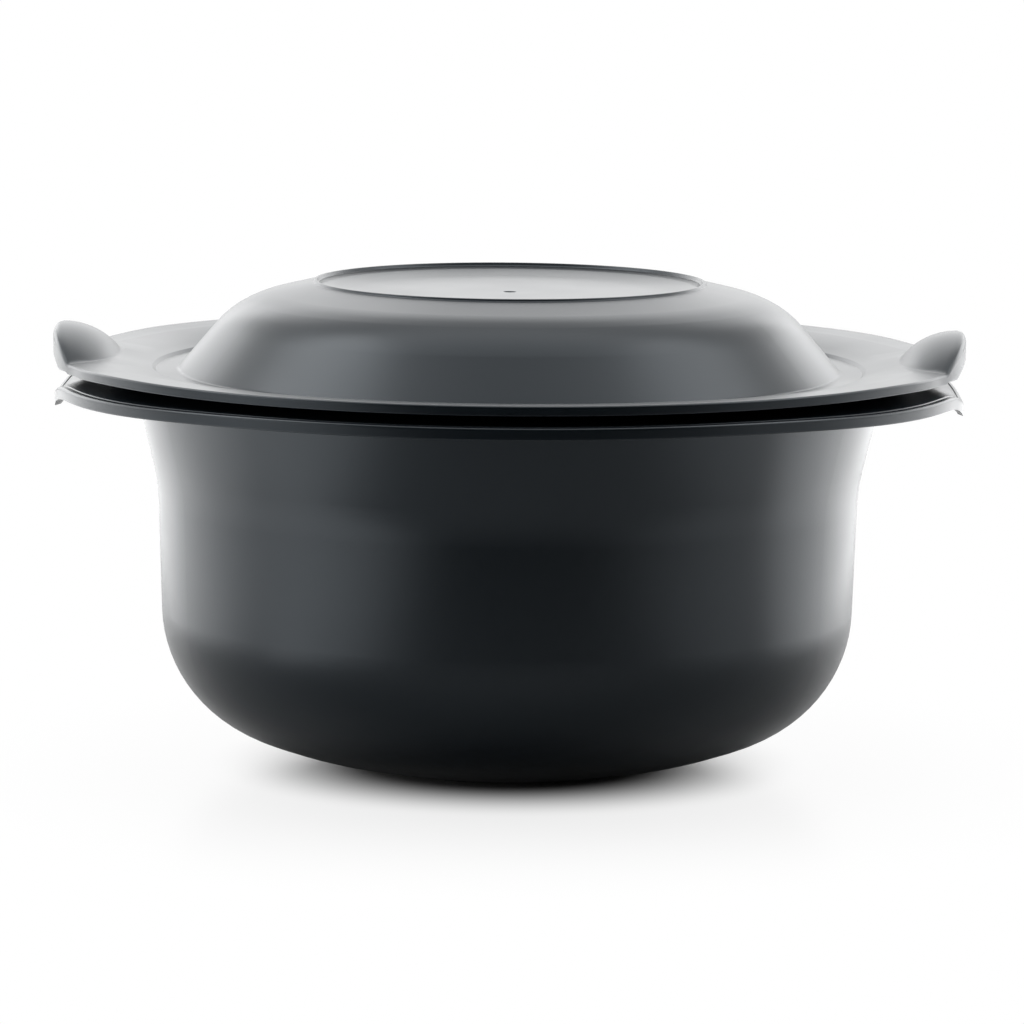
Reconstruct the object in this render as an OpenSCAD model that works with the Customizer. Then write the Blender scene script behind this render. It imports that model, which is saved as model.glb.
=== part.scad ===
// Round baking dish with a lift-off lid. Each of the two is one thin plastic moulding.
// Millimetres, +Z up. The origin is on the table, under the middle of the dish.
// +X runs through one pair of grips, -X through the other.

/* [Dish] */
// Diameter of the dish outside, where the bottom bend meets the wall
dish_d = 253.2; // [235:0.2:265]
// Height of the flat land on the rim that carries the lid
seat_h = 146.5; // [120:0.1:160]
// Wall thickness of both mouldings
wall = 2.3; // [1.8:0.1:2.8]
// Diameter of the flat foot that the dish stands on
foot_d = 88; // [70:1:110]
// Radius of the bend from the foot into the bottom
foot_round = 45; // [25:1:60]
// Rise of the bottom from the foot to the bend, in degrees
bottom_rise = 12.5; // [10:0.1:18]
// Diameter at which the bottom starts to rise more steeply
bottom_d = 164; // [150:1:180]
// Rise of that steeper part, in degrees
bottom_rise_out = 19.5; // [15:0.1:25]
// Radius of the bend from the bottom into the wall
bend_r = 50; // [35:1:55]
// Outward lean of the wall, in degrees
draft = 1.8; // [0.5:0.1:3]
// Height at which the wall starts to flare
flare_h = 104.5; // [85:0.5:112]
// Outward lean of the flared mouth, in degrees
flare = 13.4; // [8:0.1:16]
// Radius of the bend into the flare
flare_r = 60; // [30:1:90]
// Depth of the shallow recess under the foot
foot_recess = 0.8; // [0.4:0.1:1.2]
// Width of the foot ring round that recess
foot_ring = 7; // [5:0.5:10]

/* [Dish rim] */
// Diameter of the dish rim
rim_d = 332; // [324:1:338]
// Width of the flat land that the lid rests on
land_w = 4.5; // [3:0.1:6]
// Fall of the rim from the land to its edge, in degrees
rim_fall = 5.2; // [4:0.1:8]
// Height of the turned-down edge of the dish rim
rim_edge = 4.1; // [3:0.1:4.8]
// Width of the fine groove beside the edge
groove_w = 0.8; // [0.5:0.1:1.2]
// Depth of the fine groove
groove_deep = 0.5; // [0.3:0.1:0.8]

/* [Lid] */
// Diameter of the lid rim
lid_d = 327; // [320:1:332]
// Height of the lid rim's top edge above the dish land
lid_rim_rise = 5.2; // [4.5:0.1:6.5]
// Height of the turned-down edge of the lid rim
lid_edge = 3.6; // [3.2:0.1:4.6]
// Slope of the outer part of the lid rim, in degrees
lid_slope_out = 3.4; // [2:0.1:5]
// Slope of the inner part of the lid rim, in degrees
lid_slope_in = 13.9; // [10:0.1:16]
// Diameter where the two slopes meet
lid_break_d = 288.6; // [282:0.2:294]
// Diameter of the shoulder above the channel
channel_top_d = 262.6; // [258:0.2:266]
// Outer diameter of the flat channel round the dome
channel_d = 260; // [254:0.2:262]
// Depth of the channel below that shoulder
channel_deep = 1.1; // [1:0.05:2]
// Diameter of the dome where it meets the channel
dome_d = 244; // [236:0.2:248]
// Steepness of the dome's flank, in degrees
dome_flank = 49.5; // [45:0.5:56]
// Slope of the dome's roof, in degrees
dome_roof = 12; // [8:0.5:20]
// Slope of the shoulder between flank and roof, in degrees
dome_shoulder = 26; // [18:0.5:36]
// Diameter at which the shoulder becomes the flank
shoulder_d = 206.8; // [196:0.2:216]
// Radius of the bend there
shoulder_round = 35; // [20:1:50]
// Diameter at which the roof becomes the shoulder
roof_d = 184.4; // [176:0.2:192]
// Radius of the bend there
roof_round = 41; // [20:1:60]
// Radius of the fillet at the foot of the dome
dome_fillet = 4; // [3:0.2:6]

/* [Crest] */
// Outer diameter of the raised ring on top of the lid
crest_d = 144.6; // [130:0.2:150]
// Width of the raised ring
crest_w = 2.2; // [1.6:0.1:3]
// Height of the ring above the roof outside it
crest_rise = 1.4; // [0.8:0.1:2]
// Depth of the dished top inside the ring
crest_deep = 4.3; // [3:0.1:6]
// Diameter of the moulding gate mark in the middle
gate_d = 5; // [3:0.5:8]
// Depth of the gate mark
gate_deep = 0.5; // [0.3:0.1:0.8]

/* [Grips] */
// Reach of the lid grips from the middle
lid_grip_reach = 169; // [166:0.1:172]
// Distance from the middle at which a lid grip leaves the rim
lid_grip_root = 144.5; // [140:0.1:150]
// Upward angle of a lid grip at its root, in degrees
lid_grip_up = 30; // [26:0.5:36]
// Radius of a lid grip along its length
lid_grip_long_r = 105; // [90:1:130]
// Radius of a lid grip across its width
lid_grip_cross_r = 85; // [60:1:130]
// Reach of the dish grips from the middle
dish_grip_reach = 168.5; // [167:0.1:171]
// Distance from the middle at which a dish grip leaves the rim
dish_grip_root = 146.5; // [142:0.1:152]
// Downward angle of a dish grip at its root, in degrees
dish_grip_down = 24; // [18:0.5:28]
// Radius of a dish grip along its length
dish_grip_long_r = 130; // [110:1:160]
// Radius of a dish grip across its width
dish_grip_cross_r = 150; // [100:1:220]
// Radius of a grip's outline, seen from above
grip_plan_r = 90; // [70:1:110]
// Radius that eases the outline of a grip into the round rim
grip_ease = 60; // [30:1:90]

/* [Fits] */
// Radial gap between the lid's centring rib and the mouth of the dish
rib_gap = 0.6; // [0.4:0.1:1]
// Width of the centring rib
rib_w = 1.8; // [1.4:0.1:2.4]
// Depth of the centring rib below the dish land
rib_deep = 2.6; // [2:0.1:4]

/* [Hidden] */
$fn = 96;
tiny = 0.01;
far = 400;
arc_step = 5;
edge_round = 0.9;
lip_round = 0.4;
lip_w = 2.2;
mouth_round = 1.2;
grip_sink = 1.6;

// Plane geometry for the profiles

function unit(v) = v / norm(v);
function left_of(v) = [-v.y, v.x];
function side(a, b) = a.x * b.y - a.y * b.x;
function turn(a, b) = atan2(side(a, b), a * b);

// Points of the arc that rounds corner p1 with radius r
function corner_arc(p0, p1, p2, r) =
    let (a = unit(p1 - p0), b = unit(p2 - p1), t = turn(a, b), s = sign(t))
    r < tiny || abs(t) < 0.05 ? [p1] :
    let (start = p1 - a * r * tan(abs(t) / 2),
         mid = start + left_of(a) * r * s,
         n = max(1, ceil(abs(t) / arc_step)))
    [for (i = [0:n]) let (g = t * i / n, v = start - mid)
        mid + [v.x * cos(g) - v.y * sin(g), v.x * sin(g) + v.y * cos(g)]];

// A path is a list of [radius, height, rounding]; this gives its rounded outline
function xy(p) = [p.x, p.y];
function rounded(path) =
    let (n = len(path))
    [for (i = [0:n - 1])
        each i == 0 || i == n - 1 ? [xy(path[i])] :
            corner_arc(xy(path[i - 1]), xy(path[i]), xy(path[i + 1]), path[i][2])];

// The same path moved d to its left, with its roundings kept concentric
function beside(path, d) =
    let (n = len(path))
    [for (i = [0:n - 1])
        let (p = xy(path[i]),
             a = i == 0 ? unit(xy(path[1]) - p) : unit(p - xy(path[i - 1])),
             b = i == n - 1 ? a : unit(xy(path[i + 1]) - p),
             na = left_of(a), nb = left_of(b),
             q = p + (na + nb) * d / (1 + na * nb),
             r = path[i][2] < tiny ? 0 : max(path[i][2] - d * sign(turn(a, b)), lip_round))
        [q.x, q.y, r]];

function backwards(list) = [for (i = [len(list) - 1:-1:0]) list[i]];

// Dish profile

dish_r = dish_d / 2;
rim_r = rim_d / 2;
foot_x = foot_d / 2 + foot_round * tan(bottom_rise / 2);
bottom_r = bottom_d / 2;
bottom_z = (bottom_r - foot_x) * tan(bottom_rise);
bend_z = bottom_z + (dish_r - bottom_r) * tan(bottom_rise_out);
flare_x = dish_r + (flare_h - bend_z) * tan(draft);
function mouth_x(z) = flare_x + (z - flare_h) * tan(flare);
function mouth_in_x(z) = mouth_x(z) - wall / cos(flare);
land_in = mouth_in_x(seat_h);
land_out = land_in + land_w;
rim_z = seat_h - (rim_r - land_out) * tan(rim_fall);
rim_low = rim_z - rim_edge;

// Outside of the dish, from the middle of the foot to the land
dish_out = [
    [0, 0, 0],
    [foot_x, 0, foot_round],
    [bottom_r, bottom_z, 90],
    [dish_r, bend_z, bend_r],
    [flare_x, flare_h, flare_r],
    [mouth_x(seat_h), seat_h, 0]];

// Underside of the rim, from the wall to the turned-down edge
under_z = seat_h - wall;
rim_under = [
    [mouth_x(under_z), under_z, 5],
    [land_out, under_z, 10],
    [rim_r - lip_w, rim_z - wall + lip_w * tan(rim_fall), lip_round],
    [rim_r - lip_w, rim_low, lip_round],
    [rim_r, rim_low, lip_round],
    [rim_r, rim_z, edge_round]];

// Top of the rim, from the edge to the mouth
groove_x = rim_r - 1.8;
function rim_top(x) = rim_z + (rim_r - x) * tan(rim_fall);
rim_over = [
    [groove_x, rim_top(groove_x), 0],
    [groove_x, rim_top(groove_x) - groove_deep, 0],
    [groove_x - groove_w, rim_top(groove_x - groove_w) - groove_deep, 0],
    [groove_x - groove_w, rim_top(groove_x - groove_w), 0],
    [land_out, seat_h, 6],
    [land_in, seat_h, mouth_round]];

dish_in = beside(dish_out, wall);
dish_path = concat(
    [for (i = [0:4]) dish_out[i]], rim_under, rim_over,
    backwards([for (i = [0:4]) dish_in[i]]));

module dish_section() {
    polygon(rounded(dish_path));
}

// Lid profile

lid_r = lid_d / 2;
lid_z = seat_h + lid_rim_rise;
lid_break = [lid_break_d / 2, lid_z - (lid_d - lid_break_d) / 2 * tan(lid_slope_out)];
channel_top_r = channel_top_d / 2;
channel_top = [channel_top_r, lid_break.y - (lid_break.x - channel_top_r) * tan(lid_slope_in)];
channel_z = channel_top.y - channel_deep;
dome_foot_r = dome_d / 2;

// Flank, shoulder and roof climb inwards from the channel to the foot of the crest ring
crest_r = crest_d / 2;
shoulder_r = shoulder_d / 2;
shoulder_z = channel_z + (dome_foot_r - shoulder_r) * tan(dome_flank);
roof_r = roof_d / 2;
roof_z = shoulder_z + (shoulder_r - roof_r) * tan(dome_shoulder);
crest_foot_z = roof_z + (roof_r - crest_r) * tan(dome_roof);
crest_z = crest_foot_z + crest_rise;
crest_in = crest_r - crest_w;
bowl_r = crest_in - 8;
bowl_z = crest_z - crest_deep + 0.9;

rim_slopes = [
    [channel_top.x, channel_top.y, 3.2],
    [lid_break.x, lid_break.y, 30]];
dome_slopes = [
    [roof_r, roof_z, roof_round],
    [shoulder_r, shoulder_z, shoulder_round],
    [dome_foot_r, channel_z, dome_fillet],
    [channel_d / 2, channel_z, 0.6]];

lid_over = concat(
    [[0, crest_z - crest_deep - gate_deep, 0],
     [gate_d / 2 - 0.6, crest_z - crest_deep - gate_deep, 0],
     [gate_d / 2, crest_z - crest_deep, 0],
     [bowl_r, bowl_z, 60],
     [crest_in - 0.6, crest_z - 1.2, 1.2],
     [crest_in, crest_z, 0.6],
     [crest_r - 0.4, crest_z, 0.7],
     [crest_r, crest_foot_z, 0.8]],
    dome_slopes, rim_slopes,
    [[lid_r, lid_z, edge_round]]);

// The underside follows a plainer line that leaves out the ring and the gate mark
lid_core = concat(
    [[0, crest_z - crest_deep, 0],
     [bowl_r, bowl_z, 60],
     [crest_r - crest_w / 2, crest_foot_z + (crest_w / 2) * tan(dome_roof) + 0.5, 9]],
    dome_slopes, rim_slopes,
    [[lid_r - lip_w, lid_z - lip_w * tan(lid_slope_out), 0]]);
lid_under = beside(lid_core, -wall);

// Points where the underside is met by the rib and by the seat
function rim_under_z(x) =
    x > lid_break.x
        ? lid_break.y + (x - lid_break.x) * tan(lid_slope_out) - wall / cos(lid_slope_out)
        : channel_top.y + (x - channel_top.x) * tan(lid_slope_in) - wall / cos(lid_slope_in);
rib_z = seat_h - rib_deep;
rib_out = mouth_in_x(rib_z) - rib_gap;
seat_in = land_in + mouth_round + 0.4;
seat_out = land_out - 0.5;

under_count = len(lid_under);
lid_path = concat(
    lid_over,
    [[lid_r, lid_z - lid_edge, lip_round],
     [lid_r - lip_w, lid_z - lid_edge, lip_round],
     [lid_under[under_count - 1].x, lid_under[under_count - 1].y, lip_round],
     [lid_under[under_count - 2].x, lid_under[under_count - 2].y, 20],
     [seat_out, rim_under_z(seat_out), 0],
     [seat_out, seat_h, 0],
     [seat_in, seat_h, 0],
     [seat_in, rim_under_z(seat_in), 0],
     [rib_out, rim_under_z(rib_out), 0],
     [rib_out, rib_z, 0.5],
     [rib_out - rib_w, rib_z, 0.5],
     [rib_out - rib_w, rim_under_z(rib_out - rib_w), 0]],
    backwards([for (i = [0:under_count - 3]) lid_under[i]]));

module lid_section() {
    polygon(rounded(lid_path));
}

// Grips

// Outline of a rim with its two grips, seen from above and drawn in by a margin
module rim_plan(rim_radius, reach, margin) {
    plan_x = reach - grip_plan_r;
    ease_reach = rim_radius + grip_ease;
    ease_angle = acos((ease_reach * ease_reach + plan_x * plan_x - pow(grip_plan_r + grip_ease, 2))
        / (2 * ease_reach * plan_x));
    ease_mid = ease_reach * [cos(ease_angle), sin(ease_angle)];
    circle(r = rim_radius - margin);
    for (m = [0, 1]) mirror([m, 0]) {
        translate([plan_x, 0]) circle(r = grip_plan_r - margin);
        for (k = [0, 1]) mirror([0, k]) difference() {
            polygon([[plan_x, 0], ease_mid, [0, 0]]);
            translate(ease_mid) circle(r = grip_ease + margin);
        }
    }
}

// Lens-shaped solid whose crown is arched along X and across Y; grow moves its skin
// outwards. Its ridge passes through [root, root_z] at the given slope.
module lens(root, root_z, slope, long_r, cross_r, grow) {
    translate([root + long_r * sin(slope), 0, root_z - long_r * cos(slope)])
        rotate([90, 0, 0])
            rotate_extrude() intersection() {
                translate([long_r - cross_r, 0]) circle(r = cross_r + grow);
                translate([0, -far]) square([far, 2 * far]);
            }
}

module both_sides() {
    for (m = [0, 1]) mirror([m, 0, 0]) children();
}

module slab(z0, z1) {
    translate([0, 0, z0]) linear_extrude(z1 - z0) children();
}

lid_grip_z = lid_break.y;
module lid_lens(grow) {
    lens(lid_grip_root, lid_grip_z, lid_grip_up, lid_grip_long_r, lid_grip_cross_r, grow);
}

module lid() color("#3a3f45") {
    difference() {
        union() {
            rotate_extrude() lid_section();
            both_sides() intersection() {
                lid_lens(0);
                slab(lid_z - wall, lid_z + 30) rim_plan(lid_r, lid_grip_reach, 0);
            }
        }
        both_sides() intersection() {
            lid_lens(-wall);
            slab(lid_z - 20, lid_z + 30) rim_plan(lid_r, lid_grip_reach, lip_w);
        }
        both_sides() intersection() {
            lid_lens(-lid_edge);
            slab(lid_z - 20, lid_z + 30) rim_plan(lid_r, lid_grip_reach, -1);
        }
    }
}

dish_grip_z = rim_top(dish_grip_root);
module dish_lens(grow) {
    translate([0, 0, dish_grip_z]) mirror([0, 0, 1])
        lens(dish_grip_root, 0, dish_grip_down, dish_grip_long_r, dish_grip_cross_r, grow);
}

module dish() color("#23282d") {
    difference() {
        union() {
            rotate_extrude() dish_section();
            both_sides() intersection() {
                dish_lens(wall);
                slab(rim_z - 20, rim_z - grip_sink + 1) rim_plan(rim_r, dish_grip_reach, 0);
            }
        }
        both_sides() intersection() {
            dish_lens(0);
            slab(rim_low - 20, seat_h + 20) rim_plan(rim_r, dish_grip_reach, -1);
        }
        cylinder(r = foot_d / 2 - foot_ring, h = 2 * foot_recess, center = true);
    }
}

dish();
lid();
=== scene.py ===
"""Looks for a round baking dish with a lift-off lid, both satin moulded plastic.

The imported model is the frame. Two shells, the dish and the lid, stand for its two nodes; each
is one closed surface over the angle round the axis and the distance along the moulding's
section. Sizes are in millimetres, as in the part's source, but meshes, lamps and the studio's
room are in metres.
"""
import logging
import math
from collections.abc import Callable
from dataclasses import dataclass, field
from enum import Enum
from typing import Any

import bpy
import numpy as np
from mathutils import Matrix, Vector


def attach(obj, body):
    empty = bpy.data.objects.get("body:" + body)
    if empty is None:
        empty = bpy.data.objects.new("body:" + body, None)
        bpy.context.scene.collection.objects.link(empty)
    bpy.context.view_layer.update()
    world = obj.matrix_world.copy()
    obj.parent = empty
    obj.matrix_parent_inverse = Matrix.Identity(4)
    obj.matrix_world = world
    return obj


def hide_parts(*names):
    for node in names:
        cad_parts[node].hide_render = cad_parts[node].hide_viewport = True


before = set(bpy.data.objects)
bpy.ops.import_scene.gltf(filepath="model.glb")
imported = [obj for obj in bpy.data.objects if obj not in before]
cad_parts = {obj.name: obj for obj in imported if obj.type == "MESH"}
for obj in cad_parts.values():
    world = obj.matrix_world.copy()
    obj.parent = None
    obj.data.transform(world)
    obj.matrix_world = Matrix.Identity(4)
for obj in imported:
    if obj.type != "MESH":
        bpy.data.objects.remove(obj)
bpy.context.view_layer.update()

MM = 0.001
PICTURE_PX = 1024
SENSOR_MM = 36.0
STRAIGHT_RAD = 1e-3
SAME_POINT_MM = 1e-4

Span = float | np.ndarray
Line = Callable[[Span], Span]
Place = tuple[float, float, float]

log = logging.getLogger("dish")


# Colour and nodes


def linear(code: str) -> tuple[float, float, float, float]:
    """Turns an sRGB hex colour into the linear values that shaders take.

    Args:
        code: six hex digits, such as "1d2125".

    Returns:
        Red, green, blue and an alpha of one.
    """
    c = np.array([int(code[i:i + 2], 16) for i in (0, 2, 4)]) / 255
    rgb = np.where(c <= 0.04045, c / 12.92, ((c + 0.055) / 1.055) ** 2.4)
    return (*(float(v) for v in rgb), 1.0)


def add_node(tree: bpy.types.NodeTree, kind: str, settings: dict[str, Any] | None = None,
             **inputs: Any) -> bpy.types.Node:
    """Adds one node with its settings, socket values and links.

    Args:
        tree: the node tree that takes it.
        kind: the node's Blender type.
        settings: attribute names of the node with their values.
        **inputs: socket values or output sockets by socket name, with _ for a space; a
            name such as in0 means the socket of that number.

    Returns:
        The new node.
    """
    node = tree.nodes.new(kind)
    for name, value in (settings or {}).items():
        setattr(node, name, value)
    for name, value in inputs.items():
        numbered = name.startswith("in") and name[2:].isdigit()
        socket = node.inputs[int(name[2:]) if numbered else name.replace("_", " ")]
        if isinstance(value, bpy.types.NodeSocket):
            tree.links.new(value, socket)
        else:
            socket.default_value = value
    return node


def new_material(name: str) -> tuple[bpy.types.Material, bpy.types.NodeTree, bpy.types.Node]:
    """Makes an empty node material.

    Args:
        name: the material's name.

    Returns:
        The material, its node tree and its output node.
    """
    mat = bpy.data.materials.new(name)
    mat.use_nodes = True
    tree = mat.node_tree
    tree.nodes.clear()
    return mat, tree, tree.nodes.new("ShaderNodeOutputMaterial")


# Sections


@dataclass(frozen=True)
class Corner:
    """One corner of a section: distance from the axis, height and rounding radius, in mm."""

    r: float
    z: float
    radius: float = 0.0


def slope(degrees: float) -> float:
    """Gives the rise of a line for each step along it, from its angle."""
    return math.tan(math.radians(degrees))


def sagitta(radius: float, distance: np.ndarray, share: float) -> np.ndarray:
    """Gives how far an arc falls away at a distance d from its crown: R - sqrt(R^2 - d^2).

    Args:
        radius: the arc's radius R, in mm.
        distance: the distance d, in mm, taken as 0 where it is negative.
        share: the largest part of R that d may be.

    Returns:
        The fall, in mm.
    """
    d = np.clip(distance, 0, radius * share)
    return radius - np.sqrt(radius ** 2 - d ** 2)


def left_of(v: np.ndarray) -> np.ndarray:
    """Turns a plane vector a quarter turn to the left."""
    return np.array([-v[1], v[0]])


def directions(points: np.ndarray) -> np.ndarray:
    """Gives the unit vectors from each point of a path to the next."""
    step = np.diff(points, axis=0)
    return step / np.linalg.norm(step, axis=1, keepdims=True)


def beside(path: list[Corner], distance: float, least: float = 0.4) -> list[Corner]:
    """Moves a path sideways by one distance, with its roundings kept concentric.

    Each corner moves along the sum of the two normals that meet there.

    Args:
        path: the corners.
        distance: how far to the left of the direction of travel, in mm.
        least: the smallest rounding that a rounded corner may keep, in mm.

    Returns:
        The corners of the moved path.
    """
    ways = directions(np.array([(c.r, c.z) for c in path]))
    before = np.vstack([ways[:1], ways])
    after = np.vstack([ways, ways[-1:]])
    moved = []
    for corner, a, b in zip(path, before, after):
        na, nb = left_of(a), left_of(b)
        shift = (na + nb) * distance / (1 + na @ nb)
        turn = math.copysign(1, a[0] * b[1] - a[1] * b[0])
        radius = max(corner.radius - distance * turn, least) if corner.radius else 0.0
        moved.append(Corner(corner.r + shift[0], corner.z + shift[1], radius))
    return moved


def arc_at(corner: Corner, a: np.ndarray, b: np.ndarray, arc_deg: float, longest: float) -> np.ndarray:
    """Rounds one corner by an arc that touches both sides at radius * tan(turn / 2) from it.

    Args:
        corner: the corner.
        a: unit vector of the side that comes in.
        b: unit vector of the side that goes out.
        arc_deg: the largest step round the arc, in degrees.
        longest: the longest step along the arc, in mm.

    Returns:
        The arc's points, or the corner alone where it is sharp or the path is straight.
    """
    point = np.array([corner.r, corner.z])
    turn = math.atan2(a[0] * b[1] - a[1] * b[0], a @ b)
    if corner.radius == 0 or abs(turn) < STRAIGHT_RAD:
        return point[None, :]
    start = point - a * corner.radius * math.tan(abs(turn) / 2)
    centre = start + left_of(a) * corner.radius * math.copysign(1, turn)
    by_angle = math.ceil(abs(turn) / math.radians(arc_deg))
    by_length = math.ceil(abs(turn) * corner.radius / longest)
    swing = np.linspace(0, turn, max(2, by_angle, by_length) + 1)[:, None]
    v = start - centre
    return centre + v * np.cos(swing) + left_of(v) * np.sin(swing)


def rounded(path: list[Corner], arc_deg: float = 9.0, longest: float = 4.2, margin: float = 0.35,
            fine: float = 1.25, fine_from: float = 141.2) -> np.ndarray:
    """Draws a path with its corners rounded, finely enough for smooth shading.

    A straight side gets points near both its ends and at even steps between them.

    Args:
        path: the corners.
        arc_deg: the largest step round an arc, in degrees.
        longest: the longest straight step, in mm.
        margin: how far the first and last inner points of a side are from its ends, in mm.
        fine: the longest step on a side that lies in the rim, in mm.
        fine_from: distance from the axis at which the rim begins, in mm.

    Returns:
        An array of points, one row of (r, z) each.
    """
    points = np.array([(c.r, c.z) for c in path])
    ways = directions(points)
    arcs = [arc_at(c, a, b, arc_deg, longest) for c, a, b in zip(path[1:-1], ways, ways[1:])]
    pieces = [points[:1]]
    for arc in [*arcs, points[-1:]]:
        start = pieces[-1][-1]
        length = float(np.linalg.norm(arc[0] - start))
        if length > 4 * margin:
            step = fine if min(start[0], arc[0, 0]) >= fine_from else longest
            count = max(1, math.ceil((length - 2 * margin) / step))
            along = np.linspace(margin, length - margin, count + 1) / length
            pieces.append(start + (arc[0] - start) * along[:, None])
        pieces.append(arc)
    joined = np.vstack(pieces)
    keep = np.append(True, np.linalg.norm(np.diff(joined, axis=0), axis=1) > SAME_POINT_MM)
    return joined[keep]


# Turned shells


def shell_mesh(name: str, r: np.ndarray, z: np.ndarray, theta: np.ndarray,
               low_pole: float, high_pole: float) -> bpy.types.Object:
    """Closes a surface of angle and section into one mesh, with a vertex at each pole.

    The point (i, j) is (r cos theta, r sin theta, z) at angle i and section place j.

    Args:
        name: the object's name.
        r: distances from the axis, angles by section places, in mm.
        z: heights, in mm.
        theta: the angles, in radians, without the closing one.
        low_pole: height of the section's start on the axis, in mm.
        high_pole: height of the section's end on the axis, in mm.

    Returns:
        The new object, smooth shaded.
    """
    turns, places = r.shape
    x = r * np.cos(theta)[:, None]
    y = r * np.sin(theta)[:, None]
    body = np.stack([x, y, z], axis=-1).reshape(-1, 3)
    verts = np.vstack([body, [[0, 0, low_pole], [0, 0, high_pole]]]) * MM
    i = np.arange(turns)[:, None]
    j = np.arange(places - 1)[None, :]
    here, beyond = i * places, (i + 1) % turns * places
    quads = np.stack([here + j, beyond + j, beyond + j + 1, here + j + 1], axis=-1).reshape(-1, 4)
    here, beyond = here[:, 0], beyond[:, 0]
    low = np.stack([np.full(turns, len(body)), beyond, here], axis=-1)
    high = np.stack([np.full(turns, len(body) + 1), here + places - 1, beyond + places - 1], axis=-1)
    mesh = bpy.data.meshes.new(name)
    mesh.from_pydata(verts.tolist(), [], quads.tolist() + low.tolist() + high.tolist())
    mesh.polygons.foreach_set("use_smooth", np.ones(len(mesh.polygons), dtype=bool))
    mesh.update()
    obj = bpy.data.objects.new(name, mesh)
    bpy.context.collection.objects.link(obj)
    return obj


def turn_angles(fine_deg: float = 0.55, coarse_deg: float = 2.4, reach_deg: float = 27) -> np.ndarray:
    """Spaces angles round the axis, closer together at the grips.

    Args:
        fine_deg: step within reach_deg of the X axis on either side.
        coarse_deg: step elsewhere.
        reach_deg: how far from the X axis the fine steps run.

    Returns:
        The angles in radians, from -reach_deg, without the closing one.
    """
    fine = np.linspace(-reach_deg, reach_deg, round(2 * reach_deg / fine_deg), endpoint=False)
    rest = 180 - 2 * reach_deg
    coarse = np.linspace(reach_deg, reach_deg + rest, round(rest / coarse_deg), endpoint=False)
    half = np.concatenate([fine, coarse])
    return np.radians(np.concatenate([half, half + 180]))


def off_axis(theta: np.ndarray) -> np.ndarray:
    """Gives the unsigned angle from the nearer end of the X axis, in radians."""
    return np.abs((theta + math.pi / 2) % math.pi - math.pi / 2)


# Grips


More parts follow.
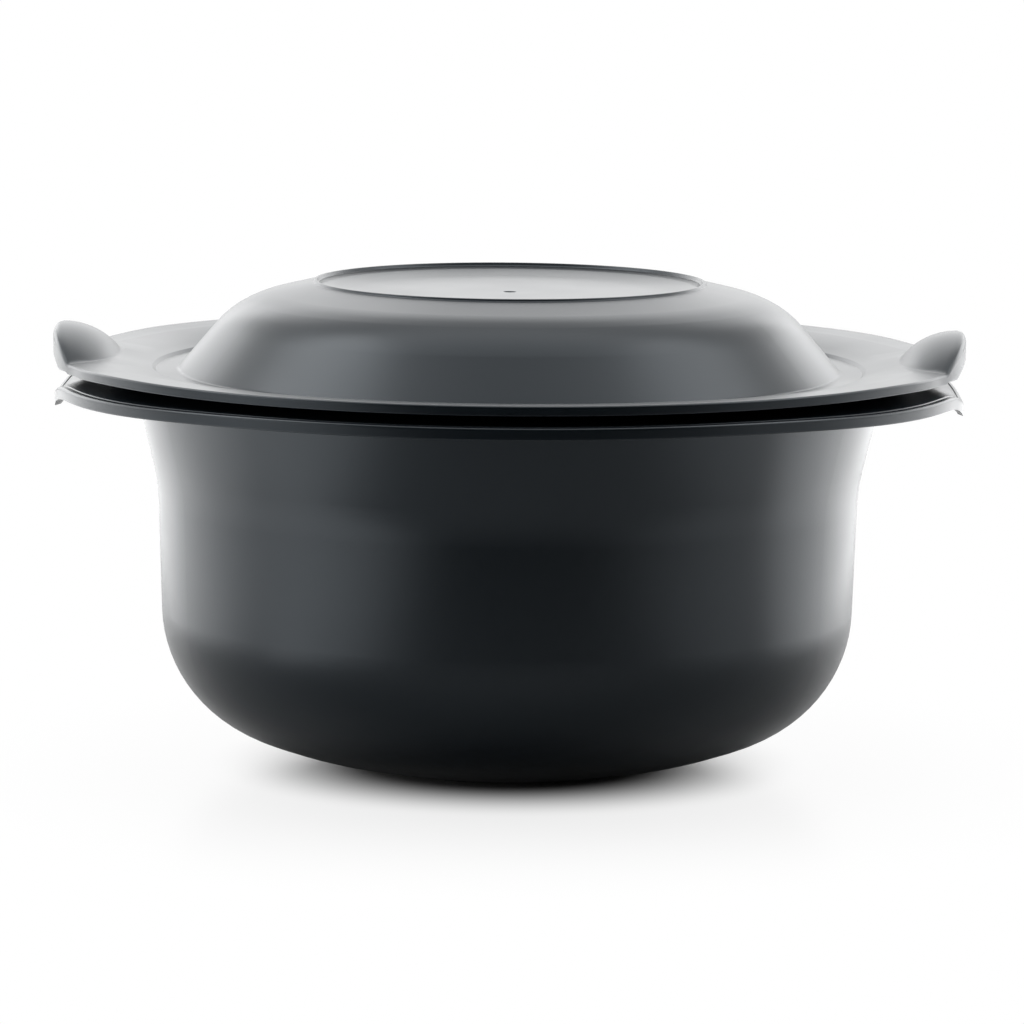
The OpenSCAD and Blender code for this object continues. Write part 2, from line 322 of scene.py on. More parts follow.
@dataclass(frozen=True)
class Grip:
    """A rim that bends into a grip at each end of the X axis, in mm.

    The bend begins at start, and root is the place of the section that is drawn to the
    crease. The plain rim ends at rim and the grip at reach, and plan_radius is the grip's
    radius seen from above. The outermost firm mm of a section keep their width, and join is
    how softly the grip's outline leaves the round rim.
    """

    start: float
    root: float
    rim: float
    reach: float
    plan_radius: float
    wall: float
    edge: float
    end_rounding: float
    firm: float = 3.0
    least_back: float = 4.0
    join: float = 0.5
    blend: float = 1.5
    deepest: float = 8.0
    roll_share: float = 0.96
    probe: float = 0.05

    def outline(self, theta: np.ndarray) -> np.ndarray:
        """Gives the distance of the outer edge from the axis.

        A circle of plan_radius that ends at reach is met from the middle at a distance of
        c cos theta + sqrt(plan_radius^2 - c^2 sin^2 theta), with c its centre, and the edge
        passes softly from it to the round rim.

        Args:
            theta: angles in radians.

        Returns:
            The distances, in mm.
        """
        off = off_axis(theta)
        centre = self.reach - self.plan_radius
        square = self.plan_radius ** 2 - (centre * np.sin(off)) ** 2
        arc = centre * np.cos(off) + np.sqrt(np.clip(square, 0, None))
        return self.rim + self.join * np.logaddexp(0, (arc - self.rim) / self.join)

    def lift(self, r: np.ndarray, theta: np.ndarray, plain: np.ndarray) -> np.ndarray:
        """Gives the height that the grip adds to the rim's top line.

        Args:
            r: distances from the axis, in mm.
            theta: angles in radians.
            plain: height of the plain top line above the rim's own edge, in mm.

        Returns:
            The added height, in mm.
        """
        raise NotImplementedError

    def lip(self, theta: np.ndarray) -> np.ndarray:
        """Gives the height of the turned-down edge at each angle, in mm."""
        raise NotImplementedError

    def crease(self, theta: np.ndarray, plain: Line) -> np.ndarray:
        """Gives the distance from the axis at which the grip leaves the plain rim, in mm."""
        return np.full(theta.shape, self.root)

    def top(self, r: np.ndarray, theta: np.ndarray, plain: Line) -> np.ndarray:
        """Gives the height of the bent top line, which rolls down at the grip's end.

        The roll is R - sqrt(R^2 - s d^2), with R the end's rounding, d how far a point lies
        within R of the edge, and s a share that stops it just before it is upright.

        Args:
            r: distances from the axis, in mm.
            theta: angles in radians.
            plain: gives the height of the plain top line at a distance from the axis.

        Returns:
            The heights, in mm.
        """
        out = self.outline(theta)
        level = plain(r)
        within = np.clip(self.end_rounding - (out - r), 0, self.end_rounding)
        roll = self.end_rounding - np.sqrt(self.end_rounding ** 2 - self.roll_share * within ** 2)
        at_grip = np.clip((out - self.rim) / (self.reach - self.rim), 0, 1)
        return level + self.lift(r, theta, level - plain(self.rim)) - roll * at_grip

    def apply(self, points: np.ndarray, plain: Line, theta: np.ndarray) -> tuple[np.ndarray, np.ndarray]:
        """Carries a whole section along with its bent top line.

        The section is stretched so that its place at root lies on the crease and its last
        one on the outline. A point keeps its depth below the top line, measured square to
        it, and in the turned-down edge straight down and as deep as the lip is.

        Args:
            points: the section's points, rows of (r, z), in mm.
            plain: gives the height of the plain top line at a distance from the axis.
            theta: the angles in radians.

        Returns:
            Distances and heights, angles by points, in mm.
        """
        angle = theta[:, None]
        rho, flat = points[None, :, 0], points[None, :, 1]
        out = self.outline(angle)
        firm_in, firm_out = self.rim - self.firm, out - self.firm
        crease = np.minimum(self.crease(angle, plain), firm_out - self.least_back)
        inner = self.start + (rho - self.start) * (crease - self.start) / (self.root - self.start)
        outer = crease + (rho - self.root) * (firm_out - crease) / (firm_in - self.root)
        r = np.where(rho < self.root, inner, np.where(rho < firm_in, outer, rho - self.rim + out))
        climb = self.top(r + self.probe, angle, plain) - self.top(r - self.probe, angle, plain)
        tilt = np.arctan2(climb, 2 * self.probe)
        depth = plain(rho) - flat
        hang = self.lip(angle) - self.wall
        below = np.clip(depth - self.wall, 0, None) * hang / (self.edge - self.wall)
        straight = np.clip((rho - firm_in + self.blend) / self.blend, 0, 1)
        new_r = r + (1 - straight) * depth * np.sin(tilt)
        down = (1 - straight) * depth * np.cos(tilt) + straight * (np.minimum(depth, self.wall) + below)
        bent = (rho > self.start) & (depth < self.deepest)
        return np.where(bent, new_r, rho), np.where(bent, self.top(r, angle, plain) - down, flat)


@dataclass(frozen=True)
class LidGrip(Grip):
    """A hump whose back climbs steeply from the rim to a level end and arches across.

    The end stands rise above the rim's edge and is level over the last few mm. Beside the
    hump the rim sags, most at sag_deg from the X axis.
    """

    rise: float = 10.2
    level: float = 2.8
    back_radius: float = 25.2
    cross_radius: float = 90.0
    steepest: float = 0.999
    widest: float = 0.95
    lip_height: float = 8.4
    sag: float = 0.9
    sag_deg: float = 19.0
    sag_spread: float = 9.0
    sharpness: float = 0.22
    clear: float = 2.0
    crease_steps: int = 500

    def back(self, r: np.ndarray, theta: np.ndarray) -> np.ndarray:
        """Gives the height of the hump's back above the rim's edge.

        It is rise less the fall of an arc inwards from the level end, and less the fall of
        an arch to both sides.

        Args:
            r: distances from the axis, in mm.
            theta: angles in radians.

        Returns:
            The heights, in mm, far below zero away from the grip.
        """
        off = off_axis(theta)
        climb = sagitta(self.back_radius, self.reach - self.level - r * np.cos(off), self.steepest)
        return self.rise - climb - sagitta(self.cross_radius, r * np.sin(off), self.widest)

    def lift(self, r: np.ndarray, theta: np.ndarray, plain: np.ndarray) -> np.ndarray:
        """Raises the rim to the hump, and lets the rim sag a little on both sides of it.

        The sag is a bell over the angle that grows with the square of the way to the edge.

        Args:
            r: distances from the axis, in mm.
            theta: angles in radians.
            plain: height of the plain top line above the rim's own edge, in mm.

        Returns:
            The added height, in mm.
        """
        aside = (np.degrees(off_axis(theta)) - self.sag_deg) / self.sag_spread
        outwards = np.clip((r - self.root) / (self.rim - self.root), 0, 1)
        drop = self.sag * np.exp(-aside ** 2) * outwards ** 2
        hump = self.back(r, theta)
        return self.sharpness * np.logaddexp(0, (hump - plain + drop) / self.sharpness) - drop

    def lip(self, theta: np.ndarray) -> np.ndarray:
        """Follows the back's arch with the lip until it meets the plain edge.

        Args:
            theta: angles in radians.

        Returns:
            Heights of the turned-down edge, in mm.
        """
        out = self.outline(theta)
        top = np.maximum(self.back(out, theta), 0)
        inner = self.cross_radius - self.lip_height
        low = self.rise - self.lip_height - sagitta(inner, out * np.sin(off_axis(theta)), self.widest)
        return top - np.maximum(low, -self.edge)

    def crease(self, theta: np.ndarray, plain: Line) -> np.ndarray:
        """Finds where the back comes out of the plain rim along each radius.

        Args:
            theta: angles in radians, one row each.
            plain: gives the height of the plain top line at a distance from the axis.

        Returns:
            The distances from the axis, in mm, or the rim's edge where there is no hump.
        """
        r = np.linspace(self.start + self.clear, self.rim, self.crease_steps)[None, :]
        above = self.back(r, theta) > plain(r) - plain(self.rim)
        first = np.argmax(above, axis=1)[:, None]
        return np.where(above.any(axis=1)[:, None], r[0][first], self.rim)


@dataclass(frozen=True)
class DishGrip(Grip):
    """A rim that droops towards the grip and bends down beyond a crease to a hooked lip.

    The wide droop is broad deep and fades at broad_deg from the X axis. The tip drops by tip
    more over tip_width, and its edge reaches down by hook.
    """

    broad: float = 2.4
    broad_deg: float = 45.0
    broad_power: float = 1.5
    tip: float = 4.9
    tip_width: float = 25.0
    hook: float = 1.5
    crease_firmness: float = 34.0
    easing: float = 0.15

    def near_tip(self, theta: np.ndarray) -> np.ndarray:
        """Gives the share of the tip's form at an angle: exp(-(y / tip_width)^2)."""
        return np.exp(-(self.rim * np.sin(off_axis(theta)) / self.tip_width) ** 2)

    def lift(self, r: np.ndarray, theta: np.ndarray, plain: np.ndarray) -> np.ndarray:
        """Lowers the rim: widely and softly, and more at the tip beyond the crease.

        The wide droop grows as a power of the way from start to reach. The tip's drop is a
        soft ramp from the crease on, which eases a little towards the end.

        Args:
            r: distances from the axis, in mm.
            theta: angles in radians.
            plain: height of the plain top line above the rim's own edge, not used here.

        Returns:
            The added height, in mm, which is negative.
        """
        beyond = (r - self.root) / (self.reach - self.root)
        ramp = np.logaddexp(0, self.crease_firmness * beyond) / self.crease_firmness
        outwards = np.clip((r - self.start) / (self.reach - self.start), 0, None)
        wide = self.broad * np.exp(-(np.degrees(off_axis(theta)) / self.broad_deg) ** 4)
        eased = (1 + self.easing) * ramp - self.easing * ramp ** 2
        return -wide * outwards ** self.broad_power - self.tip * self.near_tip(theta) * eased

    def lip(self, theta: np.ndarray) -> np.ndarray:
        """Gives the height of the edge, which reaches further down at the tip, in mm."""
        return self.edge + self.hook * self.near_tip(theta)


# Finishes


@dataclass(frozen=True)
class SatinPlastic:
    """Glass-filled polymer, injection moulded in a fine-eroded tool: dark and softly shiny.

    The grain is drawn coarser than the mould's, so that it shows at all.
    """

    name: str
    colour: str
    warm_colour: str
    roughness: float = 0.33
    gloss_drift: float = 0.02
    ior: float = 1.43
    shine_tint: str = "e8f2fa"
    grain_mm: float = 0.9
    grain_height_mm: float = 0.012
    flow_mm: float = 55.0

    def material(self) -> bpy.types.Material:
        """Builds the material.

        Returns:
            A Principled material whose shade and gloss drift slightly, as the melt's flow
            leaves them, over a fine even grain from the mould.
        """
        mat, tree, out = new_material(self.name)
        place = add_node(tree, "ShaderNodeTexCoord").outputs["Object"]
        flow = add_node(tree, "ShaderNodeTexNoise", Vector=place, Scale=1 / (self.flow_mm * MM),
                        Detail=2.0, Roughness=0.5)
        grain = add_node(tree, "ShaderNodeTexNoise", Vector=place, Scale=1 / (self.grain_mm * MM),
                         Detail=2.0, Roughness=0.6)
        shade = add_node(tree, "ShaderNodeMix", {"data_type": "RGBA"}, in0=flow.outputs["Fac"],
                         in6=linear(self.colour), in7=linear(self.warm_colour))
        gloss = add_node(tree, "ShaderNodeMapRange", None, Value=flow.outputs["Fac"],
                         From_Min=0.3, From_Max=0.7, To_Min=self.roughness - self.gloss_drift,
                         To_Max=self.roughness + self.gloss_drift)
        bump = add_node(tree, "ShaderNodeBump", None, Height=grain.outputs["Fac"],
                        Distance=self.grain_height_mm * MM, Strength=1.0)
        surface = add_node(tree, "ShaderNodeBsdfPrincipled", None, Base_Color=shade.outputs[2],
                           Roughness=gloss.outputs["Result"], IOR=self.ior,
                           Normal=bump.outputs["Normal"], Specular_Tint=linear(self.shine_tint))
        tree.links.new(surface.outputs[0], out.inputs["Surface"])
        return mat


class Finish(Enum):
    """The two moulded finishes, one for each slot of the record."""

    DISH = ("dish_plastic", SatinPlastic("satin_moulded_plastic_dish", "0d1318", "0f151a"))
    LID = ("lid_plastic", SatinPlastic("satin_moulded_plastic_lid", "0e1419", "10161b"))

    @property
    def slot(self) -> str:
        """The record's material slot."""
        return self.value[0]

    @property
    def plastic(self) -> SatinPlastic:
        """The plastic that fills it."""
        return self.value[1]


def dress(obj: bpy.types.Object, finish: Finish, body: str, node: str) -> None:
    """Gives a piece its material and its place in the frame.

    Args:
        obj: the piece.
        finish: its finish.
        body: the CAD body that it rides on.
        node: the CAD node that it stands for.
    """
    obj.data.materials.append(finish.plastic.material())
    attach(obj, body)
    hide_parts(node)
    log.info("%s: %d faces, rides on %s", obj.name, len(obj.data.polygons), body)


# The two mouldings


@dataclass
class Dish:
    """The deep dish: foot, bent bottom, flared mouth, and a rim that falls to its edge."""

    diameter: float = 253.2
    seat_height: float = 146.5
    wall: float = 2.3
    foot_diameter: float = 88.0
    foot_rounding: float = 45.0
    foot_ring: float = 7.0
    foot_edge: float = 0.3
    recess: float = 0.8
    recess_slant: float = 0.4
    bottom_rise: float = 12.5
    bottom_diameter: float = 164.0
    bottom_rounding: float = 90.0
    bottom_rise_out: float = 19.5
    bend_radius: float = 50.0
    draft: float = 1.8
    flare_height: float = 104.5
    flare: float = 13.4
    flare_radius: float = 60.0
    under_rounding: float = 5.0
    under_land_rounding: float = 10.0
    mouth_rounding: float = 1.2
    land_width: float = 4.5
    land_rounding: float = 3.0
    rim_diameter: float = 332.0
    rim_fall: float = 5.2
    rim_edge: float = 4.1
    groove_width: float = 0.8
    groove_depth: float = 0.3
    groove_inset: float = 1.8
    groove_rounding: float = 0.15
    groove_slant_out: float = 0.15
    groove_slant_in: float = 0.1
    lip_width: float = 2.2
    edge_rounding: float = 0.9
    lip_rounding: float = 0.4
    grip: DishGrip = field(default_factory=lambda: DishGrip(
        start=141.2, root=144.5, rim=166.0, reach=167.2, plan_radius=110.0, wall=2.3, edge=4.1,
        end_rounding=0.8))

    def rim_top(self, r: Span) -> Span:
        """Gives the height of the rim's top line: level over the land, then falling."""
        return self.seat_height - np.clip(r - self.land_out, 0, None) * slope(self.rim_fall)

    def on_top(self, r: float, down: float = 0.0, radius: float = 0.0) -> Corner:
        """Gives a corner on the rim's top line, or down below it."""
        return Corner(r, float(self.rim_top(r)) - down, radius)

    @property
    def land_in(self) -> float:
        """Inner edge of the flat land, in mm from the axis."""
        return self.outside()[-1].r - self.wall / math.cos(math.radians(self.flare))

    @property
    def land_out(self) -> float:
        """Outer edge of the flat land, in mm from the axis."""
        return self.land_in + self.land_width

    def outside(self) -> list[Corner]:
        """Gives the outer path from the middle of the foot up to the mouth.

        Returns:
            Corners of foot, bottom, wall and flare, and the one where the flare would reach
            the seat's height.
        """
        foot_x = self.foot_diameter / 2 + self.foot_rounding * slope(self.bottom_rise / 2)
        bottom_r, wall_r = self.bottom_diameter / 2, self.diameter / 2
        bottom_z = (bottom_r - foot_x) * slope(self.bottom_rise)
        bend_z = bottom_z + (wall_r - bottom_r) * slope(self.bottom_rise_out)
        flare_x = wall_r + (self.flare_height - bend_z) * slope(self.draft)
        mouth_x = flare_x + (self.seat_height - self.flare_height) * slope(self.flare)
        return [
            Corner(0, 0), Corner(foot_x, 0, self.foot_rounding),
            Corner(bottom_r, bottom_z, self.bottom_rounding), Corner(wall_r, bend_z, self.bend_radius),
            Corner(flare_x, self.flare_height, self.flare_radius), Corner(mouth_x, self.seat_height)]

    def rim(self) -> list[Corner]:
        """Gives the rim's path, from the wall underneath round its edge to the mouth.

        Returns:
            Corners of the underside, the turned-down edge, the groove and the land.
        """
        rim_r = self.rim_diameter / 2
        lip_x = rim_r - self.lip_width
        low = float(self.rim_top(rim_r)) - self.rim_edge
        under = self.seat_height - self.wall
        under_x = self.outside()[-1].r - self.wall * slope(self.flare)
        groove = rim_r - self.groove_inset
        groove_in = groove - self.groove_width
        return [
            Corner(under_x, under, self.under_rounding),
            Corner(self.land_out, under, self.under_land_rounding),
            self.on_top(lip_x, self.wall, self.lip_rounding),
            Corner(lip_x, low, self.lip_rounding), Corner(rim_r, low, self.lip_rounding),
            self.on_top(rim_r, 0.0, self.edge_rounding),
            self.on_top(groove, 0.0, self.groove_rounding),
            Corner(groove - self.groove_slant_out, float(self.rim_top(groove)) - self.groove_depth,
                   self.groove_rounding),
            self.on_top(groove_in, self.groove_depth, self.groove_rounding),
            Corner(groove_in - self.groove_slant_in, float(self.rim_top(groove_in)),
                   self.groove_rounding),
            self.on_top(self.grip.root),
            Corner(self.land_out, self.seat_height, self.land_rounding),
            Corner(self.land_in, self.seat_height, self.mouth_rounding)]

    def section(self) -> np.ndarray:
        """Draws the closed section, from the middle of the foot round to the middle inside.

        Returns:
            Rows of (r, z), in mm.
        """
        outer = self.outside()[:-1]
        inner = beside(self.outside(), self.wall)[:-1]
        ring = self.foot_diameter / 2 - self.foot_ring
        foot = [Corner(0, self.recess), Corner(ring - self.recess_slant, self.recess, self.foot_edge),
                Corner(ring, 0, self.foot_edge)]
        return rounded(foot + outer[1:] + self.rim() + inner[::-1])

    def build(self) -> bpy.types.Object:
        """Makes the dish's shell with its two bent-down grips.

        Returns:
            The dressed piece.
        """
        points = self.section()
        theta = turn_angles()
        r, z = self.grip.apply(points[1:-1], self.rim_top, theta)
        obj = shell_mesh("dish_shell", r, z, theta, points[0, 1], points[-1, 1])
        dress(obj, Finish.DISH, "dish", "dish")
        return obj


@dataclass
class Lid:
    """The lid: rim, channel, bulging dome, and a raised ring round a dished top."""

    seat_height: float = 146.5
    wall: float = 2.3
    diameter: float = 327.0
    rim_rise: float = 5.2
    edge: float = 3.6
    lip_width: float = 2.2
    edge_rounding: float = 0.9
    lip_rounding: float = 0.4
    slope_out: float = 3.4
    slope_in: float = 13.9
    break_diameter: float = 288.6
    break_rounding: float = 5.0
    channel_top_diameter: float = 262.6
    channel_top_rounding: float = 0.8
    channel_diameter: float = 260.0
    channel_depth: float = 1.1
    channel_rounding: float = 0.3
    dome_diameter: float = 244.0
    dome_foot_rounding: float = 2.0
    dome_flank: float = 49.5
    dome_shoulder: float = 26.0
    dome_roof: float = 13.37
    shoulder_diameter: float = 206.8
    shoulder_rounding: float = 35.0
    roof_diameter: float = 184.4
    roof_rounding: float = 41.0
    crest_diameter: float = 144.6
    crest_width: float = 1.3
    crest_rise: float = 0.9
    crest_slant: float = 0.3
    crest_rounding: float = 0.5
    crest_inner_rounding: float = 0.4
    crest_foot_rounding: float = 0.8
    bowl_depth: float = 4.3
    bowl_step: float = 1.2
    bowl_slant: float = 0.6
    bowl_inset: float = 8.0
    bowl_rise: float = 0.9
    bowl_rounding: float = 60.0
    gate_diameter: float = 5.0
    gate_depth: float = 0.5
    gate_slant: float = 0.6
    gate_rounding: float = 0.3
    under_crest_inset: float = 1.1
    under_crest_rise: float = 0.73
    under_crest_rounding: float = 9.0
    grip: LidGrip = field(default_factory=lambda: LidGrip(
        start=141.2, root=145.0, rim=163.5, reach=167.8, plan_radius=104.0, wall=2.3, edge=3.6,
        end_rounding=2.7))

    @property
    def rim_z(self) -> float:
        """Height of the rim's top edge, in mm."""
        return self.seat_height + self.rim_rise

    @property
    def crest_foot_z(self) -> float:
        """Height at which the roof meets the crest ring, in mm."""
        return self.slopes()[0].z + (self.roof_diameter - self.crest_diameter) / 2 * slope(self.dome_roof)

    @property
    def bowl_z(self) -> float:
        """Height of the middle of the dished top, in mm."""
        return self.crest_foot_z + self.crest_rise - self.bowl_depth

    @property
    def bowl_edge(self) -> Corner:
        """The corner at which the dished top begins to curve up."""
        inner = self.crest_diameter / 2 - self.crest_width
        return Corner(inner - self.bowl_inset, self.bowl_z + self.bowl_rise, self.bowl_rounding)

    def rim_top(self, r: Span) -> Span:
        """Gives the height of the rim's top line, which falls inwards and then more steeply.

        Args:
            r: distances from the axis, in mm.

        Returns:
            The heights, in mm.
        """
        brk = self.break_diameter / 2
        outer = np.clip(self.diameter / 2 - np.maximum(r, brk), 0, None) * slope(self.slope_out)
        return self.rim_z - outer - np.clip(brk - r, 0, None) * slope(self.slope_in)

    def slopes(self) -> list[Corner]:
        """Gives the corners that the top and the underside share.

        Returns:
            Corners of roof, shoulder, dome foot, channel and break line, from the inside out.
        """
        top_r, break_r = self.channel_top_diameter / 2, self.break_diameter / 2
        top_z = float(self.rim_top(top_r))
        channel_z = top_z - self.channel_depth
        foot_r = self.dome_diameter / 2
        shoulder_r, roof_r = self.shoulder_diameter / 2, self.roof_diameter / 2
        shoulder_z = channel_z + (foot_r - shoulder_r) * slope(self.dome_flank)
        roof_z = shoulder_z + (shoulder_r - roof_r) * slope(self.dome_shoulder)
        return [
            Corner(roof_r, roof_z, self.roof_rounding),
            Corner(shoulder_r, shoulder_z, self.shoulder_rounding),
            Corner(foot_r, channel_z, self.dome_foot_rounding),
            Corner(self.channel_diameter / 2, channel_z, self.channel_rounding),
            Corner(top_r, top_z, self.channel_top_rounding),
            Corner(break_r, float(self.rim_top(break_r)), self.break_rounding)]

    def crest(self) -> list[Corner]:
        """Gives the path of the dished top and its ring, from the middle out.

        Returns:
            Corners of the gate mark, the dished top and the crest ring.
        """
        crest_r, gate_r = self.crest_diameter / 2, self.gate_diameter / 2
        inner = crest_r - self.crest_width
        crest_z = self.crest_foot_z + self.crest_rise
        return [
            Corner(0, self.bowl_z - self.gate_depth),
            Corner(gate_r - self.gate_slant, self.bowl_z - self.gate_depth, self.gate_rounding),
            Corner(gate_r, self.bowl_z, self.gate_rounding), self.bowl_edge,
            Corner(inner - self.bowl_slant, crest_z - self.bowl_step, self.bowl_step),
            Corner(inner, crest_z, self.crest_inner_rounding),
            Corner(crest_r - self.crest_slant, crest_z, self.crest_rounding),
            Corner(crest_r, self.crest_foot_z, self.crest_foot_rounding)]

    def section(self) -> np.ndarray:
        """Draws the closed section, from the middle of the top round to the middle beneath.

        Returns:
            Rows of (r, z), in mm.
        """
        rim_r = self.diameter / 2
        lip_x = rim_r - self.lip_width
        low = self.rim_z - self.edge
        under_crest = Corner(self.crest_diameter / 2 - self.under_crest_inset,
                             self.crest_foot_z + self.under_crest_rise, self.under_crest_rounding)
        core = [Corner(0, self.bowl_z), self.bowl_edge, under_crest, *self.slopes(),
                Corner(lip_x, float(self.rim_top(lip_x)))]
        top = [*self.crest(), *self.slopes(),
               Corner(self.grip.root, float(self.rim_top(self.grip.root))),
               Corner(rim_r, self.rim_z, self.edge_rounding), Corner(rim_r, low, self.lip_rounding),
               Corner(lip_x, low, self.lip_rounding)]
        return rounded(top + beside(core, -self.wall)[::-1])

    def build(self) -> bpy.types.Object:
        """Makes the lid's shell with its two turned-up grips.

        Returns:
            The dressed piece.
        """
        points = self.section()[::-1]
        theta = turn_angles()
        r, z = self.grip.apply(points[1:-1], self.rim_top, theta)
        obj = shell_mesh("lid_shell", r, z, theta, points[0, 1], points[-1, 1])
        dress(obj, Finish.LID, "lid", "lid")
        return obj


# Studio


def directly_seen(tree: bpy.types.NodeTree) -> bpy.types.NodeSocket:
    """Gives one for a ray from the camera, off a glossy surface or through a clear one.

    Args:
        tree: the node tree that takes the nodes.

    Returns:
        The socket with the value.
    """
    path = add_node(tree, "ShaderNodeLightPath")
    either = add_node(tree, "ShaderNodeMath", {"operation": "MAXIMUM"}, in0=path.outputs["Is Camera Ray"],
                      in1=path.outputs["Is Glossy Ray"])
    return add_node(tree, "ShaderNodeMath", {"operation": "MAXIMUM"}, in0=either.outputs[0],
                    in1=path.outputs["Is Transmission Ray"]).outputs[0]


def whitened(name: str, build: Callable[[bpy.types.NodeTree], tuple[Any, Any]]) -> bpy.types.Material:
    """Makes a studio material that shows plain white for a share of the rays.

    Args:
        name: the material's name.
        build: adds the material's own shader to a tree, and gives its socket and the
            socket with the white share.

    Returns:
        The material.
    """
    mat, tree, out = new_material(name)
    shader, share = build(tree)
    white = add_node(tree, "ShaderNodeEmission", None, Color=linear("ffffff"), Strength=1.0)
    mix = add_node(tree, "ShaderNodeMixShader", None, in0=share, in1=shader, in2=white.outputs[0])
    tree.links.new(mix.outputs[0], out.inputs["Surface"])
    return mat


@dataclass(frozen=True)
class Lamp:
    """A soft rectangular lamp: its centre, width and height in metres, and its watts."""

    name: str
    place: Place
    size: tuple[float, float]
    watts: float
    aim: Place = (0.0, 0.0, 0.08)

    def build(self) -> None:
        """Puts up the lamp, turned towards its aim."""
        data = bpy.data.lights.new(self.name, "AREA")
        data.shape = "RECTANGLE"
        data.size, data.size_y = self.size
        data.energy = self.watts
        obj = bpy.data.objects.new(self.name, data)
        look = (Vector(self.aim) - Vector(self.place)).to_track_quat("-Z", "Y").to_matrix().to_4x4()
        obj.matrix_world = Matrix.Translation(self.place) @ look
        bpy.context.collection.objects.link(obj)


def light_table(name: str, x: float, y: float, size: tuple[float, float], watts: float) -> Lamp:
    """Gives a lamp that lies just over the table and faces straight up.

    Args:
        name: the lamp's name.
        x: its place to the right, in metres.
        y: its place to the back, in metres.
        size: its width and depth, in metres.
        watts: its power.

    Returns:
        The lamp.
    """
    return Lamp(name, (x, y, 0.01), size, watts, (x, y + 0.001, 1.0))


LAMPS = (
    Lamp("top_softbox", (0.0, 0.1, 2.4), (2.4, 1.8), 18),
    Lamp("left_softbox", (-2.0, 1.4, 0.65), (2.2, 1.3), 13),
    Lamp("right_softbox", (2.0, 1.5, 0.65), (2.2, 1.3), 11),
    Lamp("left_rear_softbox", (-1.5, 2.4, 0.7), (1.6, 1.4), 12),
    Lamp("right_rear_softbox", (1.6, 2.4, 0.7), (1.6, 1.4), 13),
    Lamp("rear_softbox", (0.0, 2.8, 1.4), (2.6, 2.2), 27),
    Lamp("left_high_softbox", (-1.5, 0.2, 1.8), (1.2, 1.2), 22),
    Lamp("right_high_softbox", (1.5, 0.2, 1.8), (1.2, 1.2), 16),
    Lamp("left_front_fill", (-1.9, -1.2, 0.5), (1.6, 1.0), 10),
    light_table("left_light_table", -0.62, 0.55, (0.7, 1.3), 5.0),
    light_table("right_light_table", 0.62, 0.6, (0.7, 1.3), 6.0),
    light_table("left_front_light_table", -0.45, -0.36, (0.5, 0.5), 1.5),
    light_table("right_front_light_table", 0.45, -0.3, (0.4, 0.4), 0.4),
)


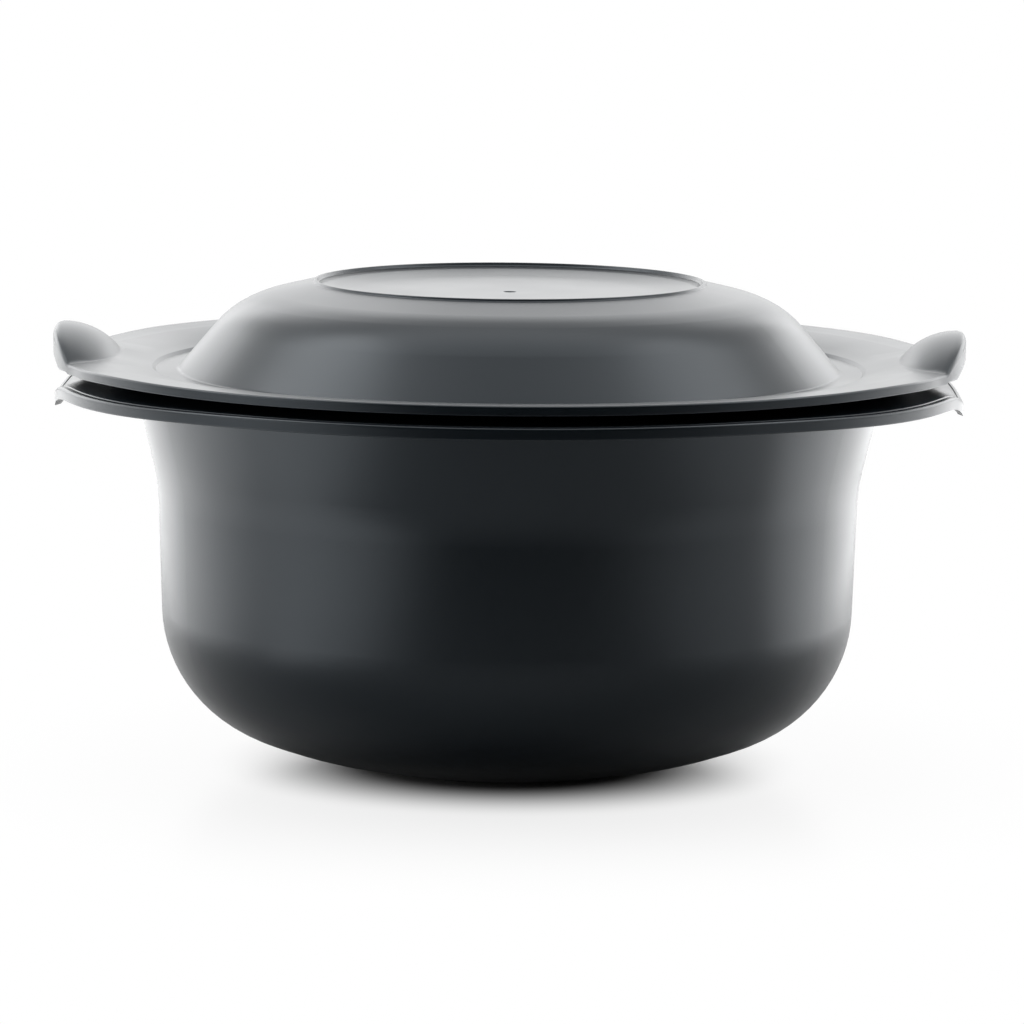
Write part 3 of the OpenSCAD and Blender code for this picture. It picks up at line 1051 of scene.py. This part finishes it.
@dataclass
class Studio:
    """Camera, pale table, white backdrop, dark front and soft lamps.

    The view's sizes are in mm and the room's in metres. The table shows its own shade and
    shadow up to shade_near from the middle, all but white from shade_far on, and plain white
    beyond white_far.
    """

    distance: float = 2000.0
    camera_height: float = 368.0
    aim_height: float = 93.0
    aim_right: float = 1.55
    turn_deg: float = 1.3
    roll_deg: float = 0.53
    focal_px: float = 5405.0
    clip_far: float = 100.0
    room_light: float = 0.15
    room_half: float = 7.0
    table_front: float = -0.52
    table_white: float = 0.84
    table_colour: str = "cacaca"
    table_roughness: float = 0.25
    table_ior: float = 1.3
    shade_near: float = 0.054
    shade_far: float = 0.114
    white_near: float = 0.1
    white_far: float = 0.26
    cloth_colour: str = "101010"
    screen_columns: int = 97
    screen_rows: int = 9
    screen_foot: float = -0.01

    def camera(self) -> bpy.types.Object:
        """Puts the camera where the photograph was taken from.

        Returns:
            The camera.
        """
        data = bpy.data.cameras.new("camera")
        data.sensor_width = SENSOR_MM
        data.clip_end = self.clip_far
        turn = math.radians(self.turn_deg)
        place = Vector((self.distance * math.sin(turn), -self.distance * math.cos(turn),
                        self.camera_height)) * MM
        aim = Vector((self.aim_right * math.cos(turn), self.aim_right * math.sin(turn),
                      self.aim_height)) * MM
        slant = math.cos(math.atan2(self.camera_height - self.aim_height, self.distance))
        data.lens = self.focal_px * SENSOR_MM / PICTURE_PX / slant
        look = (aim - place).to_track_quat("-Z", "Y").to_matrix().to_4x4()
        roll = Matrix.Rotation(math.radians(self.roll_deg), 4, "Z")
        obj = bpy.data.objects.new("camera", data)
        obj.matrix_world = Matrix.Translation(place) @ look @ roll
        bpy.context.collection.objects.link(obj)
        bpy.context.scene.camera = obj
        return obj

    def world(self) -> None:
        """Lights the room dimly, and shows the camera plain white."""
        world = bpy.data.worlds.new("room")
        bpy.context.scene.world = world
        world.use_nodes = True
        tree = world.node_tree
        tree.nodes.clear()
        dim = add_node(tree, "ShaderNodeBackground", None, Color=linear("ffffff"), Strength=self.room_light)
        white = add_node(tree, "ShaderNodeBackground", None, Color=linear("ffffff"), Strength=1.0)
        mix = add_node(tree, "ShaderNodeMixShader", None, in0=directly_seen(tree), in1=dim.outputs[0],
                       in2=white.outputs[0])
        out = tree.nodes.new("ShaderNodeOutputWorld")
        tree.links.new(mix.outputs[0], out.inputs["Surface"])

    def stage(self, name: str, points: np.ndarray, faces: np.ndarray,
              finish: bpy.types.Material) -> bpy.types.Object:
        """Adds one surface of the studio.

        Args:
            name: the object's name.
            points: its corners, in metres.
            faces: rows of corner numbers.
            finish: its material.

        Returns:
            The object.
        """
        mesh = bpy.data.meshes.new(name)
        mesh.from_pydata(points.tolist(), [], faces.tolist())
        mesh.materials.append(finish)
        obj = bpy.data.objects.new(name, mesh)
        bpy.context.collection.objects.link(obj)
        return obj

    def screen(self, name: str, radius: float, middle_deg: float, half_deg: float, top: float,
               finish: bpy.types.Material) -> bpy.types.Object:
        """Stands a curved screen round the table.

        Its points are (d sin a, d cos a, h), with a the angle from the back.

        Args:
            name: the object's name.
            radius: its distance d from the middle, in metres.
            middle_deg: where its middle stands.
            half_deg: how far it runs to either side.
            top: its height, in metres.
            finish: its material.

        Returns:
            The screen.
        """
        columns, rows = self.screen_columns, self.screen_rows
        a = np.radians(middle_deg + np.linspace(-half_deg, half_deg, columns))[:, None]
        h = np.linspace(self.screen_foot, top, rows)[None, :]
        points = np.stack(np.broadcast_arrays(radius * np.sin(a), radius * np.cos(a), h), axis=-1)
        i = (np.arange(columns - 1)[:, None] * rows + np.arange(rows - 1)[None, :]).reshape(-1)
        faces = np.stack([i, i + 1, i + rows + 1, i + rows], axis=-1)
        return self.stage(name, points.reshape(-1, 3), faces, finish)

    def white_paper(self, tree: bpy.types.NodeTree) -> tuple[Any, Any]:
        """Builds evenly lit paper that lights the room dimly and is seen plain white.

        Args:
            tree: the material's node tree.

        Returns:
            The shader's socket and the white share's socket.
        """
        dim = add_node(tree, "ShaderNodeEmission", None, Color=linear("ffffff"), Strength=self.room_light)
        return dim.outputs[0], directly_seen(tree)

    def black_cloth(self, tree: bpy.types.NodeTree) -> tuple[Any, Any]:
        """Builds matt black cloth that keeps the dish's front dark, and is white to the camera.

        Args:
            tree: the material's node tree.

        Returns:
            The shader's socket and the white share's socket.
        """
        cloth = add_node(tree, "ShaderNodeBsdfDiffuse", None, Color=linear(self.cloth_colour))
        return cloth.outputs[0], add_node(tree, "ShaderNodeLightPath").outputs["Is Camera Ray"]

    def white_table(self, tree: bpy.types.NodeTree) -> tuple[Any, Any]:
        """Builds white acrylic: a bright table with a faint, blurred reflection and a soft shadow.

        Args:
            tree: the material's node tree.

        Returns:
            The shader's socket and the white share's socket.
        """
        lit = add_node(tree, "ShaderNodeBsdfPrincipled", None, Base_Color=linear(self.table_colour),
                       Roughness=self.table_roughness, IOR=self.table_ior)
        place = add_node(tree, "ShaderNodeTexCoord").outputs["Object"]
        away = add_node(tree, "ShaderNodeVectorMath", {"operation": "LENGTH"}, in0=place).outputs["Value"]
        near = add_node(tree, "ShaderNodeMapRange", {"interpolation_type": "SMOOTHSTEP"}, Value=away,
                        From_Min=self.shade_near, From_Max=self.shade_far, To_Min=0.0,
                        To_Max=self.table_white)
        far = add_node(tree, "ShaderNodeMapRange", {"interpolation_type": "SMOOTHSTEP"}, Value=away,
                       From_Min=self.white_near, From_Max=self.white_far, To_Min=0.0,
                       To_Max=1 - self.table_white)
        glow = add_node(tree, "ShaderNodeMath", {"operation": "ADD"}, in0=near.outputs["Result"],
                        in1=far.outputs["Result"])
        seen = add_node(tree, "ShaderNodeLightPath").outputs["Is Camera Ray"]
        share = add_node(tree, "ShaderNodeMath", {"operation": "MULTIPLY"}, in0=seen, in1=glow.outputs[0])
        return lit.outputs[0], share.outputs[0]

    def room(self) -> None:
        """Puts up the table, the white backdrop and the dark front of the studio."""
        s, front = self.room_half, self.table_front
        cloth = whitened("black_molton_cloth", self.black_cloth)
        paper = whitened("white_backdrop_paper", self.white_paper)
        acrylic = whitened("white_acrylic_table", self.white_table)
        table = np.array([(-s, front, 0), (s, front, 0), (s, s, 0), (-s, s, 0)])
        carpet = np.array([(-s, -s, 0), (s, -s, 0), (s, front, 0), (-s, front, 0)])
        square = np.array([[0, 1, 2, 3]])
        self.stage("table", table, square, acrylic)
        self.stage("dark_carpet", carpet, square, cloth)
        self.screen("backdrop", radius=5.0, middle_deg=0, half_deg=112, top=4.0, finish=paper)
        self.screen("dark_curtain", radius=3.2, middle_deg=180, half_deg=56, top=4.5, finish=cloth)

    def build(self) -> None:
        """Sets up the view, the room and the lamps."""
        self.camera()
        self.world()
        self.room()
        for lamp in LAMPS:
            lamp.build()


def main() -> None:
    """Builds the studio and the two mouldings, and reports each piece."""
    logging.basicConfig(level=logging.INFO, format="%(name)s: %(message)s")
    bpy.context.scene.view_settings.view_transform = "Standard"
    Studio().build()
    for part in (Dish(), Lid()):
        piece = part.build()
        size = np.array(piece.dimensions) / MM
        log.info("%s measures %.1f x %.1f x %.1f mm", piece.name, *size)


if __name__ == "__main__":
    main()
